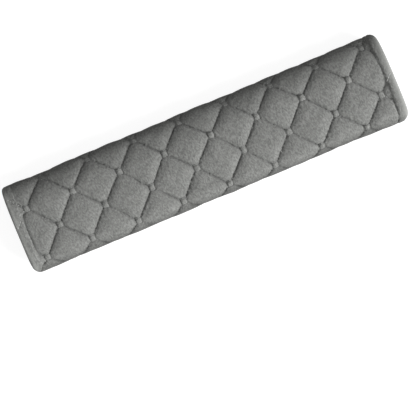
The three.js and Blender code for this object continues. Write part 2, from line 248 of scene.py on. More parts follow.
class Quilt:
    """The quilted face: where its stitches run, and how deep any place lies under the puffs."""

    STITCHES = 12  # on one side of a square
    FINE = 24  # grid steps between two columns of crossings

    # a puff: heights are shares of the groove's depth
    STEEP_SHARE = 0.36
    STEEP_REACH = 1.6 * MM
    RISE_REACH = 8 * MM
    PUFF_BODY = 0.74
    DOME = 0.26
    DOME_POWER = 0.6
    DOME_UNLIKE = 0.10  # how far one puff may differ from another
    WAVER = 0.22 * MM  # of a row of stitches, sideways

    # the small square at a crossing
    KNOB = 0.66
    KNOB_UNLIKE = 0.2
    KNOB_ROUND = 1.8 * MM
    BACK_KNOBS_LOWER = 0.45
    BACK_KNOBS_RUN = (14 * MM, 26 * MM)
    SIDES_DRAWN = 0.35  # depth of its two sides, as a share of that of its two ends
    SIDES_TO_ENDS = (-1.4 * MM, 0.6 * MM)
    PUFF_RIM = 1.2 * MM
    PUFF_OVERLAP = 0.1 * MM

    # wrinkles that run out from the small square, in two sets of rays
    WRINKLE = 0.045
    WRINKLE_AT = 4.6 * MM
    WRINKLE_REACH = 2.4 * MM
    RAYS = (11, 17)
    SECOND_RAYS = 0.6
    RAY_TURN = 3

    # how each stitch draws the cloth in, on the falling and on the rising rows
    PUCKER_FALLING = 0.13
    PUCKER_RISING = 0.24
    PUCKER_REACH = 1.1 * MM

    # unevenness of the whole face
    SWELL = 0.16 * MM
    RIPPLE = 0.035 * MM
    DRIFT = 0.28 * MM
    DRIFT_FROM_EDGE = (2 * MM, 12 * MM)
    DRIFT_FROM_END = (3 * MM, 14 * MM)
    UNDERSIDE_PRESSED = 0.35

    # the rows of stitches that hold the tapes
    TAPE_SEAM = 1 * MM  # in from the tape's edge
    TAPE_SEAM_REACH = 1.4 * MM
    TAPE_SEAM_DEPTH = 0.45 * MM

    # the hems
    HEM_STITCH = 2.6 * MM
    STITCH_DENT = 0.10 * MM
    STITCH_DENT_REACH = 1 * MM
    SEAM_SHARE = 0.55  # of the thickness, at most
    BOW_ZERO = 0.4  # where the bowed seam crosses the straight one, by the square of the way across
    FIRM_FROM = (-26 * MM, -19 * MM)  # the left seam is drawn in firmly between these two runs
    FIRM_TO = (3 * MM, 10 * MM)
    LOOSE_SEAM = 0.35
    FIRM_QUILTING = 0.4
    ROLL_SHOULDER = (3.6 * MM, 2.0 * MM)  # of the left and the right hem
    PUFF_SHOULDER = (2.4 * MM, 1.3 * MM)
    END_DRAW_RUN = (14 * MM, 2 * MM)
    END_BOW_ZERO = 0.45

    # painted shade toward the folds, and where it sets in
    BACK_SHADE = 0.34
    BACK_SHADE_RUN = (6 * MM, 36 * MM)
    FRONT_SHADE = 0.52
    FRONT_SHADE_RUN = (26 * MM, 35 * MM)
    STITCH_SHADE = 0.75

    # how far the quilting slips toward each fold, as shares of row_creep
    FRONT_CREEP = 0.9
    FRONT_CREEP_RUN = (8 * MM, 26 * MM)
    FRONT_CREEP_END = (-60 * MM, -40 * MM)
    BACK_CREEPS = ((0.75, -6 * MM, 12 * MM), (0.5, 12 * MM, 27 * MM))
    BACK_CREEP_END = (40 * MM, 60 * MM)

    def __init__(self, size):
        self.size = size
        self.section = Section(size)
        self.pitch = size.quilt_square / math.sqrt(2)
        self.half = (PANEL_HIGH.x - PANEL_LOW.x) / 2
        self.slope = -math.tan(size.quilt_turn)
        self.first_x = size.first_crossing - self.half
        self.first_s = size.row_offset + self.pitch / 2
        self.tape_end = self.section.start + size.flap_margin + (LOOP_HIGH.y - LOOP_LOW.y)
        self.tape_start = self.section.end - size.flap_margin - (LOOP_HIGH.y - LOOP_LOW.y)
        self.drift_x = Waves(SEED, wavelength=60 * MM)
        self.drift_s = Waves(SEED + 1, wavelength=55 * MM)
        self.swell = Waves(SEED + 2, wavelength=45 * MM)
        self.ripple = Waves(SEED + 3, wavelength=7 * MM)
        self.waver = Waves(SEED + 4, wavelength=2.8 * MM, count=16)

    def lattice(self, x, s):
        a = (x - self.first_x) / self.pitch
        b = (s - self.first_s - self.slope * x) / self.pitch
        return a, b

    def from_lattice(self, a, b):
        x = self.first_x + a * self.pitch
        return x, self.first_s + self.slope * x + b * self.pitch

    def over_tapes(self, s):
        blend = self.size.flap_blend
        inner = 1 - smooth(s, self.tape_end, self.tape_end + blend)
        outer = smooth(s, self.tape_start - blend, self.tape_start)
        return inner, outer

    def thickness(self, s):
        inner, outer = self.over_tapes(s)
        share_ = np.maximum(inner, outer)
        return self.size.puff_thickness * (1 - share_) + self.size.flap_thickness * share_

    def tightness(self, s):
        """Share of its depth that a groove keeps, less on the folds."""
        return 1 - (1 - self.size.fold_groove_share) * self.section.at(s)[2] ** 2

    def puff_side(self, distance):
        """Side of a puff: steep beside its stitches, then gently rising."""
        rise = np.clip(distance / self.RISE_REACH, 0, 1)
        return self.STEEP_SHARE * rim(distance, self.STEEP_REACH) + (1 - self.STEEP_SHARE) * rise * (2 - rise)

    def wrinkles(self, node_u, node_v, off_a, off_b, near):
        """Wrinkles round the small square at node_u, node_v."""
        angle = np.arctan2(off_b, off_a)
        turn = self.RAY_TURN * by_cell(node_u, node_v, 2)
        first, second = self.RAYS
        ray = np.cos(first * angle + turn) + self.SECOND_RAYS * np.cos(second * angle - 2 * turn)
        return self.WRINKLE * ray * np.exp(-((near - self.WRINKLE_AT) / self.WRINKLE_REACH) ** 2)

    def puff(self, x, s):
        """Height of the quilting, 0 on the stitches and 1 on top of a puff."""
        side = self.size.quilt_square
        a, b = self.lattice(x, s)
        u, v = (a + b) / 2, (a - b) / 2
        cell_u, cell_v = np.floor(u), np.floor(v)
        fu, fv = u - cell_u, v - cell_v
        du, dv = np.minimum(fu, 1 - fu) * side, np.minimum(fv, 1 - fv) * side
        waver = self.WAVER * self.waver(x, s)
        # the nearest crossing, and how far outside its small square this is
        node_u, node_v = np.round(u), np.round(v)
        off_a = (u - node_u) + (v - node_v)
        off_b = (u - node_u) - (v - node_v)
        near = np.maximum(np.abs(off_a), np.abs(off_b)) * self.pitch
        outside = near - self.size.knob_square / 2
        # the small square is drawn in deepest on its two ends
        to_end = smooth((np.abs(off_a) - np.abs(off_b)) * self.pitch, *self.SIDES_TO_ENDS)
        drawn = self.SIDES_DRAWN + (1 - self.SIDES_DRAWN) * to_end
        body = self.puff_side(du + waver) * self.puff_side(dv + waver)
        dome = (4 * fu * (1 - fu) * 4 * fv * (1 - fv)) ** self.DOME_POWER
        lively = 1 + self.DOME_UNLIKE * by_cell(cell_u, cell_v, 1)
        edge = 1 - drawn * (1 - rim(outside + self.PUFF_OVERLAP, self.PUFF_RIM))
        puffed = (self.PUFF_BODY * body + self.DOME * dome * lively) * edge
        wrinkle = self.wrinkles(node_u, node_v, off_a, off_b, near) * body
        # each stitch draws the cloth in and lets it out again
        falling = du < dv
        along = np.where(falling, v, u) * self.STITCHES
        close = np.exp(-(np.minimum(du, dv) / self.PUCKER_REACH) ** 2)
        pucker = np.where(falling, self.PUCKER_FALLING, self.PUCKER_RISING)
        pucker = pucker * np.cos(2 * math.pi * along) * close
        knob = self.KNOB * (1 - drawn * (1 - rim(-outside, self.KNOB_ROUND)))
        knob = knob * (1 + self.KNOB_UNLIKE * by_cell(node_u, node_v, 3))
        knob = knob * (1 - self.BACK_KNOBS_LOWER * smooth(s, *self.BACK_KNOBS_RUN))
        return np.where(outside > 0, puffed + wrinkle + pucker, knob)

    def tape_rows(self):
        """The rows of stitches that hold the tape of the outer flap, and those of the inner flap."""
        margin = self.size.flap_margin
        outer = (self.tape_start + self.TAPE_SEAM, self.section.end - margin - self.TAPE_SEAM)
        inner = (self.section.start + margin + self.TAPE_SEAM, self.tape_end - self.TAPE_SEAM)
        return outer, inner

    def seams(self, s):
        """Depth share of the rows of stitches that hold the tapes, 1 on a row."""
        outer, inner = self.tape_rows()
        nearest = np.min([np.abs(s - row) for row in outer + inner], axis=0)
        return 1 - rim(nearest, self.TAPE_SEAM_REACH)

    def groove(self, s):
        """Depth of the stitches below the tops of the puffs."""
        _, outer = self.over_tapes(s)
        return (self.size.groove_depth * (1 - outer) + self.size.flap_groove * outer) * self.tightness(s)

    def unevenness(self, x, s):
        """Slow swells and small ripples, none of them under the pad or over the hooks."""
        inner, _ = self.over_tapes(s)
        uneven = self.SWELL * self.swell(x, s) + self.RIPPLE * self.ripple(x, s)
        return uneven * (1 - inner) * np.clip(1 + self.section.at(s)[3], 0, 1)

    def face_depth(self, x, s):
        """Depth of the face below the tops of the puffs, between the hems."""
        inner, _ = self.over_tapes(s)
        out_z = self.section.at(s)[3]
        pressed = 1 + self.UNDERSIDE_PRESSED * np.maximum(0, -out_z)
        height = np.minimum(1, self.puff(x, s) * pressed)
        depth = self.groove(s) * (1 - height) * (1 - inner)
        return depth + self.seams(s) * self.TAPE_SEAM_DEPTH + self.unevenness(x, s)

    def roll(self, s):
        """Depth of the middle of a hem's roll, and its radius."""
        inside = self.thickness(s) + self.size.hem_inside
        proud = self.size.hem_proud * self.tightness(s)
        return (inside - proud) / 2, (inside + proud) / 2

    def seam_from_tip(self, x, s):
        """Distance of a hem's row of stitches from the tip of the hem."""
        across = np.clip(s / (0.5 * self.size.width), -1, 1)
        return self.size.hem_width + self.size.hem_bow * (across ** 2 - self.BOW_ZERO) * (x > 0)

    def hem_share(self, x, s):
        """How deep the seam of the hem at x is drawn in, and how much of the quilting shows there."""
        size = self.size
        firm = smooth(s, *self.FIRM_FROM) * (1 - smooth(s, *self.FIRM_TO))
        left_seam = size.left_seam * (self.LOOSE_SEAM + (1 - self.LOOSE_SEAM) * firm)
        left_quilting = size.left_quilting * (1 - (1 - self.FIRM_QUILTING) * firm)
        seam = np.where(x < 0, left_seam, size.right_seam)
        return seam, np.where(x < 0, left_quilting, size.right_quilting)

    def hem_depth(self, x, s, face):
        """Depth of the face with the turned hems: their rolled edges and rows of stitches."""
        size = self.size
        tip = self.half - np.abs(x)
        middle, radius = self.roll(s)
        rolled = np.clip(tip / size.hem_nose, 0, 1)
        nose = middle - radius * np.sqrt(1 - (1 - rolled) ** 2)
        seam, quilted = self.hem_share(x, s)
        bottom = np.minimum(size.groove_depth, self.thickness(s) * self.SEAM_SHARE) * seam * self.tightness(s)
        bottom = np.maximum(bottom, quilted * face)
        past = self.seam_from_tip(x, s) - tip
        pull = rim(past, np.where(x < 0, *self.ROLL_SHOULDER))
        near = np.exp(-(past / self.STITCH_DENT_REACH) ** 2)
        stitched = np.cos(2 * math.pi * s / self.HEM_STITCH) * self.STITCH_DENT * near
        roll = nose * pull + bottom * (1 - pull) + quilted * face * pull * rolled
        puffs = face + (bottom - face) * (1 - rim(-past, np.where(x < 0, *self.PUFF_SHOULDER)))
        return np.where(past > 0, roll, puffs) + stitched

    def shade(self, s, pressed):
        """Painted shade toward the folds, deepest on the front fold's stitches."""
        back = self.BACK_SHADE * smooth(s, *self.BACK_SHADE_RUN)
        front = self.FRONT_SHADE * smooth(-s, *self.FRONT_SHADE_RUN)
        return np.maximum(back, front * (1 + self.STITCH_SHADE * pressed ** 2))

    def depth(self, x, s):
        depth = self.hem_depth(x, s, self.face_depth(x, s))
        edge = np.minimum(s - self.section.start, self.section.end - s)
        return depth + self.size.edge_round * (1 - rim(np.maximum(edge, 0), self.size.edge_round))

    def creep(self, s):
        """How far the quilting slips round the section, toward the nearer fold."""
        front = self.FRONT_CREEP * smooth(-s, *self.FRONT_CREEP_RUN) * smooth(s, *self.FRONT_CREEP_END)
        back = sum(part * smooth(s, low, high) for part, low, high in self.BACK_CREEPS)
        back = back * (1 - smooth(s, *self.BACK_CREEP_END))
        return self.size.row_creep * (back - front)

    def place(self, x, s, depth):
        """The point at a depth below the tops of the puffs, never below the floor."""
        x, s, depth = np.broadcast_arrays(x, s, depth)
        drift = smooth(np.minimum(s - self.section.start, self.section.end - s), *self.DRIFT_FROM_EDGE)
        drift = self.DRIFT * drift * smooth(self.half - np.abs(x), *self.DRIFT_FROM_END)
        moved_s = s + drift * self.drift_s(x, s) + self.creep(s)
        y, z, out_y, out_z = self.section.at(moved_s)
        moved_x = x + drift * self.drift_x(x, s) - np.sign(x) * self.drawn_in(x, s, out_y, out_z)
        return np.stack([moved_x, y - out_y * depth, np.maximum(0, z - out_z * depth)], -1)

    def drawn_in(self, x, s, out_y, out_z):
        """How far the ends of the pad draw in toward its middle."""
        size = self.size
        folded = np.where(out_z < 0, 1, out_y ** 2)
        soft = (x < 0) & (s < 0)
        bow = np.where(x < 0, 0, size.end_bow)
        drawn = np.where(soft, size.soft_corner, size.corner) * folded + bow * (folded - self.END_BOW_ZERO)
        return drawn * smooth(self.half - np.abs(x), *self.END_DRAW_RUN)


class Skin:
    """Points and triangles of one closed piece, gathered a part at a time."""

    def __init__(self):
        self.points = []
        self.count = 0
        self.faces = []

    def add(self, points):
        flat = np.asarray(points, float).reshape(-1, 3)
        index = np.arange(self.count, self.count + len(flat))
        self.points.append(flat)
        self.count += len(flat)
        return index.reshape(np.shape(points)[:-1])

    def grid(self, index, rising=None, flip=False, wrap=False):
        """Two triangles for each cell, split along the diagonal that rising chooses."""
        if wrap:
            index = np.concatenate([index, index[:, :1]], 1)
        a, b = index[:-1, :-1].ravel(), index[1:, :-1].ravel()
        c, d = index[1:, 1:].ravel(), index[:-1, 1:].ravel()
        up = np.ones(len(a), bool) if rising is None else rising.ravel()
        first = np.where(up[:, None], np.stack([a, b, c], 1), np.stack([a, b, d], 1))
        second = np.where(up[:, None], np.stack([a, c, d], 1), np.stack([b, c, d], 1))
        made = np.concatenate([first, second])
        self.faces.append(made[:, ::-1] if flip else made)

    def zip(self, fine, fine_at, coarse, coarse_at, flip=False):
        """Joins two lines of points that run side by side but have different steps."""
        made, i, j = [], 0, 0
        while i < len(fine) - 1 or j < len(coarse) - 1:
            step = j == len(coarse) - 1 or (i < len(fine) - 1 and fine_at[i + 1] <= coarse_at[j + 1])
            made.append((fine[i], fine[i + 1], coarse[j]) if step else (fine[i], coarse[j + 1], coarse[j]))
            i, j = (i + 1, j) if step else (i, j + 1)
        made = np.array(made)
        self.faces.append(made[:, ::-1] if flip else made)

    def tubes(self, index):
        """Closed tubes, from an array of tubes by rings by sides."""
        _, rings, sides = index.shape
        for k in range(rings - 1):
            for m in range(sides):
                n = (m + 1) % sides
                a, b, c, d = index[:, k, m], index[:, k + 1, m], index[:, k + 1, n], index[:, k, n]
                self.faces += [np.stack([a, c, b], 1), np.stack([a, d, c], 1)]
        for m in range(1, sides - 1):
            self.faces.append(np.stack([index[:, 0, 0], index[:, 0, m + 1], index[:, 0, m]], 1))
            self.faces.append(np.stack([index[:, -1, 0], index[:, -1, m], index[:, -1, m + 1]], 1))

    def cap(self, loop, axes):
        """Fills a flat loop of points, seen along the axis that axes leaves out."""
        points = np.concatenate(self.points)[loop][:, axes]
        flat = [Vector((p[0], p[1], 0)) for p in points]
        made = np.array(tessellate_polygon([flat]))

        def area(p):
            x, y = p[..., 0], p[..., 1]
            return (x * np.roll(y, -1, -1) - y * np.roll(x, -1, -1)).sum(-1)

        wrong = np.sign(area(points[made])) != np.sign(area(points))
        made[wrong] = made[wrong][:, ::-1]
        self.faces.append(np.asarray(loop)[made])

    def mesh(self, name, material, sharp=math.radians(55)):
        mesh = bpy.data.meshes.new(name)
        points = np.concatenate(self.points)
        faces = np.concatenate(self.faces)
        mesh.vertices.add(len(points))
        mesh.vertices.foreach_set("co", points.ravel())
        mesh.loops.add(faces.size)
        mesh.loops.foreach_set("vertex_index", faces.ravel().astype(np.int32))
        mesh.polygons.add(len(faces))
        mesh.polygons.foreach_set("loop_start", np.arange(0, faces.size, 3, dtype=np.int32))
        mesh.update(calc_edges=True)
        mesh.validate()
        mesh.polygons.foreach_set("use_smooth", np.ones(len(mesh.polygons), bool))
        mesh.set_sharp_from_angle(angle=sharp)
        mesh.materials.append(material)
        piece = bpy.data.objects.new(name, mesh)
        bpy.context.scene.collection.objects.link(piece)
        return piece


def attribute(piece, name, values):
    layer = piece.data.attributes.new(name, "FLOAT", "POINT")
    layer.data.foreach_set("value", np.asarray(values, np.float32))


def finish_piece(piece, slot, *nodes):
    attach(piece, BODY)
    if nodes:
        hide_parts(*nodes)


TIP = 0.7 * MM  # from the end of the pad to the first line of the fine grid
HIDDEN_STEP = 1.2 * MM
EDGE_LINES = (0, 0.12 * MM, 0.36 * MM, 0.72 * MM, 1.2 * MM, 2.0 * MM)  # from a flap's edge


def lines_along(quilt):
    """Places along the pad of the fine grid's lines, between the two rolled tips."""
    step = quilt.pitch / quilt.FINE
    first = math.ceil((-quilt.half + TIP - quilt.first_x) / step)
    last = math.floor((quilt.half - TIP - quilt.first_x) / step)
    return quilt.first_x + step * np.arange(first, last + 1)


def lines_round(quilt):
    """Places round the section of the grid's lines, and which of them follow the quilting."""
    step = quilt.pitch / quilt.FINE
    edge = np.array(EDGE_LINES)
    margin = edge[-1] + abs(quilt.slope) * quilt.half + step / 2
    hidden = np.arange(quilt.section.start + edge[-1] + HIDDEN_STEP, quilt.tape_end, HIDDEN_STEP)
    first = math.ceil((quilt.tape_end + margin - quilt.first_s) / step)
    last = math.floor((quilt.section.end - margin - quilt.first_s) / step)
    turned = quilt.first_s + step * np.arange(first, last + 1)
    before = np.concatenate([quilt.section.start + edge, hidden])
    after = quilt.section.end - edge[::-1]
    follows = np.concatenate([np.zeros(len(before)), np.ones(len(turned)), np.zeros(len(after))])
    return np.concatenate([before, turned, after]), follows


class MakePanel(bpy.types.Operator):
    """Makes the quilted velvet panel, folded into a sleeve with a turned hem at each end"""

    bl_idname = "belt_pad.quilted_panel"
    bl_label = "Quilted panel"
    NOSE_STEPS = 9
    NOSE_START = 0.45 * MM  # from the tip to where the nose takes over from the grid
    RETURN_LINES = 3
    RETURN_DENT = 0.35 * MM  # of the hem's stitches in the turned layer
    RETURN_DENT_REACH = 0.8 * MM
    INNER_STEP = 1.4 * MM
    TIP_HIGHLIGHT_RUN = (5 * MM, 0.7 * MM)  # where the painted highlight sets in toward the tip of a hem
    FILL = 0.55

    def nose(self, quilt, side, s):
        """The rolled tip of a hem and its way back inside, from the outer face inward."""
        size = quilt.size
        inside = quilt.thickness(s) + size.hem_inside
        middle, radius = quilt.roll(s)
        start = math.acos(1 - self.NOSE_START / size.hem_nose)
        angles = np.linspace(start, -math.pi / 2, self.NOSE_STEPS)
        lines = []
        for angle in angles:
            x = side * (quilt.half - size.hem_nose * (1 - math.cos(angle)))
            lines.append(quilt.place(x, s, middle - radius * math.sin(angle)))
        for k in range(1, self.RETURN_LINES + 1):
            tip = size.hem_nose + (size.hem_return - size.hem_nose) * k / self.RETURN_LINES
            drawn = self.RETURN_DENT * math.exp(-((tip - size.hem_width) / self.RETURN_DENT_REACH) ** 2)
            lines.append(quilt.place(side * (quilt.half - tip), s, inside - drawn))
        return np.array(lines)

    def execute(self, context):
        quilt = Quilt(context.scene.pad_sizes)
        skin = Skin()
        x = lines_along(quilt)
        base, follows = lines_round(quilt)

        def rows(at):
            return base + follows * quilt.slope * at

        s = np.array([rows(at) for at in x])
        wide = np.repeat(x[:, None], len(base), 1)
        depth = quilt.depth(wide, s)
        left = self.nose(quilt, -1, rows(-quilt.half))[::-1]
        right = self.nose(quilt, 1, rows(quilt.half))
        outer = skin.add(np.concatenate([left, quilt.place(wide, s, depth), right]))

        all_x = np.concatenate([np.full(len(left), x[0]), x, np.full(len(right), x[-1])])
        all_s = np.concatenate([np.repeat(s[:1], len(left), 0), s, np.repeat(s[-1:], len(right), 0)])
        centre_x = (all_x[:-1, None] + all_x[1:, None]) / 2
        centre_s = (all_s[:-1, :-1] + all_s[1:, 1:]) / 2
        a, b = quilt.lattice(centre_x, centre_s)
        skin.grid(outer, rising=(np.floor(a) + np.floor(b)) % 2 == 0)

        count = int((quilt.section.end - quilt.section.start) / self.INNER_STEP)
        across = np.linspace(quilt.section.start, quilt.section.end, count)
        ends = (quilt.size.hem_return - quilt.half, quilt.half - quilt.size.hem_return)
        inner = skin.add([quilt.place(at, across, quilt.thickness(across)) for at in ends])
        skin.grid(inner, flip=True)
        skin.zip(outer[0], rows(ends[0]), inner[0], across)
        skin.zip(outer[-1], rows(ends[1]), inner[1], across, flip=True)
        skin.cap(np.concatenate([outer[::-1, 0], inner[:, 0]]), (0, 2))
        skin.cap(np.concatenate([outer[:, -1], inner[::-1, -1]]), (0, 2))

        panel = skin.mesh("quilted_velvet_panel", velvet(context.scene.pad_colours))
        pressed = np.zeros(outer.shape)
        drawn_down = (depth - quilt.unevenness(wide, s)) / quilt.groove(s)
        pressed[len(left):len(left) + len(x)] = np.clip(drawn_down, 0, 1)
        painted_tip_highlight = smooth(quilt.half - np.abs(all_x), *self.TIP_HIGHLIGHT_RUN)
        # the way back inside and the line before it get no painted highlight
        hidden = self.RETURN_LINES + 1
        painted_tip_highlight[:hidden] = 0
        painted_tip_highlight[-hidden:] = 0
        # masks for the velvet's colour: how far the stitches draw it down, painted shade, and the painted tip
        # highlight
        pile = (
            ("pressed", pressed), ("shade", quilt.shade(all_s, pressed)),
            ("painted_tip_highlight", np.repeat(painted_tip_highlight[:, None], outer.shape[1], 1)),
        )
        for name, values in pile:
            everywhere = np.zeros(skin.count)
            everywhere[outer] = values
            attribute(panel, name, everywhere)
        finish_piece(panel, "velvet", "quilted_panel")
        return {"FINISHED"}


class Stitcher:
    """Draws stitches as short threads whose ends dive into the cloth."""

    # places along a stitch, with its lift there and its thickness
    SHAPE = ((0.02, -0.9, 0.55), (0.16, 0.1, 1), (0.5, 0.5, 1), (0.84, 0.1, 1), (0.98, -0.9, 0.55))
    LIFT = 1.6  # in radii of the thread
    SIDES = 6

    def __init__(self, diameter):
        self.radius = diameter / 2
        self.skin = Skin()

    def sew(self, start, end, out):
        """One stitch for each row of start, end and out, three arrays of points and outward directions."""
        run = end - start
        run_unit = run / np.linalg.norm(run, axis=1)[:, None]
        out = out - (out * run_unit).sum(1)[:, None] * run_unit
        out /= np.linalg.norm(out, axis=1)[:, None]
        side = np.cross(run_unit, out)
        turn = np.linspace(0, 2 * math.pi, self.SIDES, endpoint=False)
        rings = []
        for along, lift, thick in self.SHAPE:
            centre = start + run * along + out * self.radius * lift * self.LIFT
            ring = [centre + self.radius * thick * (math.cos(t) * side + math.sin(t) * out) for t in turn]
            rings.append(np.stack(ring, 1))
        rings = np.stack(rings, 1)
        rings[..., 2] = np.maximum(0, rings[..., 2])
        index = self.skin.add(rings)
        self.skin.tubes(index)


def outward(quilt, s):
    _, _, out_y, out_z = quilt.section.at(s)
    return np.stack([np.zeros_like(out_y), out_y, out_z], -1)


class MakeQuiltingThread(bpy.types.Operator):
    """Makes the thread of the quilting: its slanting rows and the small square at each crossing"""

    bl_idname = "belt_pad.quilting_thread"
    bl_label = "Quilting thread"
    KNOB_STITCHES = 3  # on one side of a small square
    ROOM_AT_TAPE = 3 * MM
    ROOM_AT_EDGE = 4 * MM
    ROOM_AT_TIP = 2.2 * MM
    ROOM_AT_SEAM = 0.7 * MM
    HEM_THREAD_REACH = (3.8 * MM, 2.2 * MM)  # past the seam of the left and the right hem
    HEM_THREAD = 1.7  # thickness of the thread there, as a share of the rest's

    def rows(self, quilt):
        """Both ends of every stitch, as lattice places."""
        size, section = quilt.size, quilt.section
        knob = size.knob_square / 2 / quilt.pitch
        a_low, b_low = quilt.lattice(-quilt.half, section.start)
        a_high, b_high = quilt.lattice(quilt.half, section.end)
        starts, ends = [], []
        slant = 1 - 2 * knob
        count = round(quilt.STITCHES * slant)
        for i in range(math.floor(a_low) - 1, math.ceil(a_high) + 1):
            for j in range(math.floor(b_low) - 1, math.ceil(b_high) + 1):
                if (i + j) % 2:
                    continue
                for k in range(count):
                    near, far = knob + slant * k / count, knob + slant * (k + 1) / count
                    starts += [(i + near, j + near), (i + near, j - near)]
                    ends += [(i + far, j + far), (i + far, j - far)]
                corners = [(-knob, -knob), (knob, -knob), (knob, knob), (-knob, knob)]
                for (p, q), (r, t) in zip(corners, corners[1:] + corners[:1]):
                    for k in range(self.KNOB_STITCHES):
                        near, far = k / self.KNOB_STITCHES, (k + 1) / self.KNOB_STITCHES
                        starts.append((i + p + (r - p) * near, j + q + (t - q) * near))
                        ends.append((i + p + (r - p) * far, j + q + (t - q) * far))
        return np.array(starts), np.array(ends)

    def execute(self, context):
        size = context.scene.pad_sizes
        quilt = Quilt(size)
        starts, ends = self.rows(quilt)
        middle_x, middle_s = quilt.from_lattice(*((starts + ends) / 2).T)
        kept = (middle_s - quilt.tape_end > self.ROOM_AT_TAPE)
        kept &= quilt.section.end - middle_s > self.ROOM_AT_EDGE
        kept &= quilt.half - np.abs(middle_x) > self.ROOM_AT_TIP
        # the row of hem stitches hides the quilting thread under it
        from_seam = quilt.half - np.abs(middle_x) - quilt.seam_from_tip(middle_x, middle_s)
        kept &= np.abs(from_seam) > self.ROOM_AT_SEAM
        on_hem = from_seam < np.where(middle_x < 0, *self.HEM_THREAD_REACH)
        # the pile of the hems hides the falling rows, except at the back of the left end
        falling = (ends - starts).prod(1) < 0
        kept &= ~(on_hem & falling & ((middle_x > 0) | (middle_s < 0)))
        colours = context.scene.pad_colours
        parts = (
            ("quilting_thread", kept & ~on_hem, size.thread, colours.thread),
            # the thread over the hems is painted lighter: a painted glint
            ("hem_crossing_thread", kept & on_hem, size.thread * self.HEM_THREAD, colours.painted_glint_hem_thread),
        )
        for name, chosen, diameter, tone in parts:
            stitcher = Stitcher(diameter)
            places = []
            for end in (starts[chosen], ends[chosen]):
                x, s = quilt.from_lattice(*end.T)
                places.append(quilt.place(x, s, quilt.depth(x, s)))
            stitcher.sew(*places, outward(quilt, middle_s[chosen]))
            thread = stitcher.skin.mesh(name, sewing_thread(name, tone))
            each = stitcher.skin.count // chosen.sum()
            # painted shade on the thread too, as on the velvet toward the folds
            attribute(thread, "shade", np.repeat(quilt.shade(middle_s[chosen], 0), each))
            finish_piece(thread, "velvet")
        return {"FINISHED"}


class MakeSeamThread(bpy.types.Operator):
    """Makes the topstitching of the two hems and the rows that hold the tapes"""

    bl_idname = "belt_pad.seam_thread"
    bl_label = "Seam thread"
    TAPE_STITCH = 2.8 * MM
    THICKER = 1.15  # than the quilting thread
    ROOM_AT_EDGE = 2 * MM
    ROOM_AT_HEM = 3 * MM
    SUNK = 0.05 * MM  # into the face of the hems
    SUNK_INSIDE = 0.35 * MM
    SUNK_AT_TAPES = 0.02 * MM

    def hems(self, quilt, stitcher):
        first, last = quilt.section.start + self.ROOM_AT_EDGE, quilt.section.end - self.ROOM_AT_EDGE
        knots = np.linspace(first, last, round((last - first) / quilt.HEM_STITCH) + 1)
        for side in (-1, 1):
            x = side * (quilt.half - quilt.seam_from_tip(side, knots))
            face = quilt.place(x, knots, quilt.depth(x, knots) + self.SUNK)
            inside = quilt.thickness(knots) + quilt.size.hem_inside - self.SUNK_INSIDE
            back = quilt.place(x, knots, inside)
            out = outward(quilt, (knots[:-1] + knots[1:]) / 2)
            stitcher.sew(face[:-1], face[1:], out)
            stitcher.sew(back[1:], back[:-1], -out)

    def tapes(self, quilt, stitcher):
        size = quilt.size
        start = size.hem_width + self.ROOM_AT_HEM - quilt.half
        knots = np.linspace(start, -start, round(-2 * start / self.TAPE_STITCH) + 1)
        outer_rows, inner_rows = quilt.tape_rows()
        for row in outer_rows:
            s = np.full(len(knots), row)
            face = quilt.place(knots, s, quilt.depth(knots, s) + self.SUNK_AT_TAPES)
            stitcher.sew(face[:-1], face[1:], outward(quilt, s[:-1]))
        for row in inner_rows:
            s = np.full(len(knots), row)
            lift = quilt.thickness(s) + size.gap + size.lining_thickness
            back = quilt.place(knots, s, lift)
            stitcher.sew(back[:-1], back[1:], -outward(quilt, s[:-1]))

    def execute(self, context):
        size = context.scene.pad_sizes
        quilt = Quilt(size)
        stitcher = Stitcher(size.thread * self.THICKER)
        self.hems(quilt, stitcher)
        self.tapes(quilt, stitcher)
        tone = context.scene.pad_colours.thread
        thread = stitcher.skin.mesh("seam_thread", sewing_thread("seam_thread", tone))
        finish_piece(thread, "velvet")
        return {"FINISHED"}


class MakeLining(bpy.types.Operator):
    """Makes the thin knitted lining on the inner face"""

    bl_idname = "belt_pad.lining"
    bl_label = "Lining"
    EDGE = 2 * MM  # from the free edges of the flaps
    LINES_ALONG = 110
    LINES_ACROSS = 190
    SLACK = 0.05 * MM

    def execute(self, context):
        size = context.scene.pad_sizes
        quilt = Quilt(size)
        skin = Skin()
        reach = quilt.half - size.hem_return - size.gap
        first, last = quilt.section.start + self.EDGE, quilt.section.end - self.EDGE
        across = np.linspace(first, last, self.LINES_ACROSS)
        along = np.linspace(-reach, reach, self.LINES_ALONG)
        x, s = np.meshgrid(along, across, indexing="ij")
        slack = Waves(SEED + 5, wavelength=26 * MM)
        half = size.lining_thickness / 2
        middle = quilt.thickness(s) + size.gap + half + self.SLACK * slack(x, s)
        back = skin.add(quilt.place(x, s, middle - half))
        front = skin.add(quilt.place(x, s, middle + half))
        skin.grid(back)
        skin.grid(front, flip=True)
        skin.grid(np.stack([front[0], back[0]]))
        skin.grid(np.stack([back[-1], front[-1]]))
        skin.grid(np.stack([back[:, 0], front[:, 0]]))
        skin.grid(np.stack([front[:, -1], back[:, -1]]))
        lining = skin.mesh("inner_lining", knit(context.scene.pad_colours))
        finish_piece(lining, "lining", "lining")
        return {"FINISHED"}


